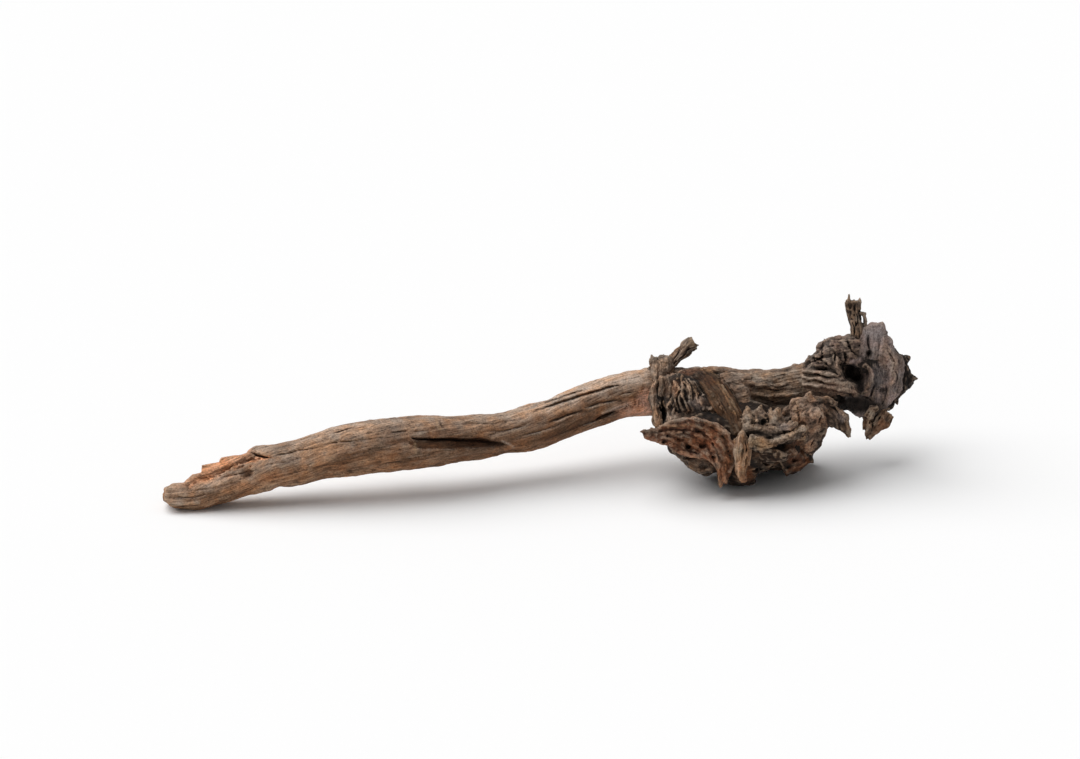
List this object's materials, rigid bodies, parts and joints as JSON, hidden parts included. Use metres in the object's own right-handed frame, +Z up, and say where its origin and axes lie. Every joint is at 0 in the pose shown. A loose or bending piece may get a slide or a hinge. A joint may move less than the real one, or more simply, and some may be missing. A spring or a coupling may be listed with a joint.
{
  "type": "sinker wood",
  "caption": "Loose branching driftwood root: long broken arm, knotted burl, fluted neck and craggy crown, lying on tip and burl.",
  "frame": {"origin": "on the ground, under the middle of the whole piece's bounding box", "axes": "+X from the broken tip of the long arm towards the root crown, +Z up, +Y away from the side with the burl's bulge"},
  "size_m": [0.6084, 0.147, 0.1414],
  "materials": {
    "arm_wood": "dry weathered grey-brown grain, bare of bark, matte",
    "burl_bark": "dark wrinkled bark and reddish torn wood, matte with a faint sheen on smooth bark",
    "crown_wood": "dark grey-brown rotted root wood with pale worn ridges, matte",
    "stub_wood": "split grey-brown stub wood with dark cracks, matte"
  },
  "bodies": {
    "root": {"long_arm": "arm_wood", "burl": "burl_bark", "twig_stub": "stub_wood", "neck": "arm_wood", "root_crown": "crown_wood", "crown_prong": "stub_wood", "lower_root": "stub_wood"}
  },
  "joints": []
}
